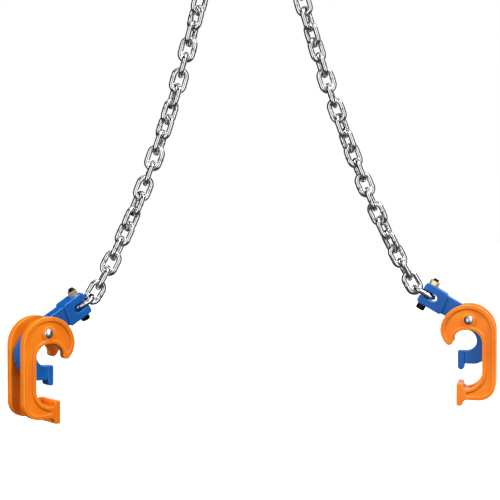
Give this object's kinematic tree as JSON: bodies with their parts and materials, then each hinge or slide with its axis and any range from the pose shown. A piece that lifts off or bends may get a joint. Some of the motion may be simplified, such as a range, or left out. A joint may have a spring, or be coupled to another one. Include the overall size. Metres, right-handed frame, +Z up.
{
  "type": "drum lifter",
  "caption": "Chain sling with a master ring and two legs of welded link chain, each ending in a hinged rim clamp that grips a steel drum's rim for upright lifting.",
  "frame": {"origin": "the crane hook's seat, inside the top of the master ring", "axes": "+Z up along the hook, +X along the two legs' plane to the right, -Y to the front"},
  "size_m": [0.6416, 0.0896, 0.9033],
  "materials": {
    "orange_paint": "glossy orange paint on cast steel",
    "blue_paint": "glossy blue paint on cast steel",
    "zinc_chain": "bright zinc plate",
    "pin_chrome": "polished",
    "black_bolt": "black oxide",
    "yellow_nut": "yellow zinc plate"
  },
  "bodies": {
    "ring": {"master_ring": "zinc_chain"},
    "left_end_link": {"left_end_link": "zinc_chain"},
    "left_chain_1": {"left_chain_1": "zinc_chain"},
    "left_chain_2": {"left_chain_2": "zinc_chain"},
    "left_chain_3": {"left_chain_3": "zinc_chain"},
    "left_chain_4": {"left_chain_4": "zinc_chain"},
    "left_chain_5": {"left_chain_5": "zinc_chain"},
    "left_chain_6": {"left_chain_6": "zinc_chain"},
    "left_jaw": {"left_jaw": "blue_paint", "left_fork_bolt": "black_bolt", "left_fork_nut": "yellow_nut"},
    "left_clamp": {"left_clamp_body": "orange_paint", "left_pivot_pin": "pin_chrome"},
    "right_end_link": {"right_end_link": "zinc_chain"},
    "right_chain_1": {"right_chain_1": "zinc_chain"},
    "right_chain_2": {"right_chain_2": "zinc_chain"},
    "right_chain_3": {"right_chain_3": "zinc_chain"},
    "right_chain_4": {"right_chain_4": "zinc_chain"},
    "right_chain_5": {"right_chain_5": "zinc_chain"},
    "right_chain_6": {"right_chain_6": "zinc_chain"},
    "right_jaw": {"right_jaw": "blue_paint", "right_fork_bolt": "black_bolt", "right_fork_nut": "yellow_nut"},
    "right_clamp": {"right_clamp_body": "orange_paint", "right_pivot_pin": "pin_chrome"}
  },
  "joints": [
    {"name": "left_ring_swing", "type": "hinge", "parent": "ring", "child": "left_end_link", "pos_m": [-0.00944, 0, -0.10336], "axis": [0, 1, 0], "range_deg": [-8, 40]},
    {"name": "left_chain_swing", "type": "hinge", "parent": "left_end_link", "child": "left_chain_1", "pos_m": [-0.01969, 0, -0.1571], "axis": [0.9823, 0, -0.1874], "range_deg": [-40, 40]},
    {"name": "left_chain_bend_1", "type": "hinge", "parent": "left_chain_1", "child": "left_chain_2", "pos_m": [-0.04033, 0, -0.26005], "axis": [0.7928, -0.5862, -0.1671], "range_deg": [-30, 30]},
    {"name": "left_chain_bend_2", "type": "hinge", "parent": "left_chain_2", "child": "left_chain_3", "pos_m": [-0.06378, 0, -0.36239], "axis": [-0.5115, 0.8503, 0.1241], "range_deg": [-30, 30]},
    {"name": "left_chain_bend_3", "type": "hinge", "parent": "left_chain_3", "child": "left_chain_4", "pos_m": [-0.0909, 0, -0.46382], "axis": [0.1571, -0.9866, -0.0449], "range_deg": [-30, 30]},
    {"name": "left_chain_bend_4", "type": "hinge", "parent": "left_chain_4", "child": "left_chain_5", "pos_m": [-0.12298, 0, -0.56378], "axis": [0.2118, 0.9745, -0.0736], "range_deg": [-30, 30]},
    {"name": "left_chain_bend_5", "type": "hinge", "parent": "left_chain_5", "child": "left_chain_6", "pos_m": [-0.16206, 0, -0.66121], "axis": [-0.5284, -0.816, 0.2344], "range_deg": [-30, 30]},
    {"name": "left_fork_turn", "type": "hinge", "parent": "left_chain_6", "child": "left_jaw", "pos_m": [-0.21836, -0.00344, -0.74545], "axis": [-0.4174, -0.2752, 0.866], "range_deg": [-44, 4]},
    {"name": "left_jaw_pivot", "type": "hinge", "parent": "left_jaw", "child": "left_clamp", "pos_m": [-0.26413, -0.03361, -0.7771], "axis": [0.5505, -0.8348, 0], "range_deg": [-12, 40]},
    {"name": "right_ring_swing", "type": "hinge", "parent": "ring", "child": "right_end_link", "pos_m": [0.00944, 0, -0.10336], "axis": [0, -1, 0], "range_deg": [-8, 40]},
    {"name": "right_chain_swing", "type": "hinge", "parent": "right_end_link", "child": "right_chain_1", "pos_m": [0.02221, 0, -0.15655], "axis": [-0.9724, 0, -0.2334], "range_deg": [-40, 40]},
    {"name": "right_chain_bend_1", "type": "hinge", "parent": "right_chain_1", "child": "right_chain_2", "pos_m": [0.04775, 0, -0.2584], "axis": [0.7763, 0.5967, 0.2034], "range_deg": [-30, 30]},
    {"name": "right_chain_bend_2", "type": "hinge", "parent": "right_chain_2", "child": "right_chain_3", "pos_m": [0.07622, 0, -0.35946], "axis": [-0.4806, -0.8653, -0.1422], "range_deg": [-30, 30]},
    {"name": "right_chain_bend_3", "type": "hinge", "parent": "right_chain_3", "child": "right_chain_4", "pos_m": [0.10834, 0, -0.45942], "axis": [0.1119, 0.993, 0.038], "range_deg": [-30, 30]},
    {"name": "right_chain_bend_4", "type": "hinge", "parent": "right_chain_4", "child": "right_chain_5", "pos_m": [0.1451, 0, -0.55776], "axis": [0.2638, -0.9588, 0.1053], "range_deg": [-30, 30]},
    {"name": "right_chain_bend_5", "type": "hinge", "parent": "right_chain_5", "child": "right_chain_6", "pos_m": [0.18793, 0, -0.6536], "axis": [-0.5762, 0.7684, -0.2785], "range_deg": [-30, 30]},
    {"name": "right_fork_turn", "type": "hinge", "parent": "right_chain_6", "child": "right_jaw", "pos_m": [0.2457, -0.00241, -0.73738], "axis": [-0.4568, 0.2034, -0.866], "range_deg": [-38, 10]},
    {"name": "right_jaw_pivot", "type": "hinge", "parent": "right_jaw", "child": "right_clamp", "pos_m": [0.29578, -0.0247, -0.76903], "axis": [0.4067, 0.9135, 0], "range_deg": [-12, 40]}
  ]
}
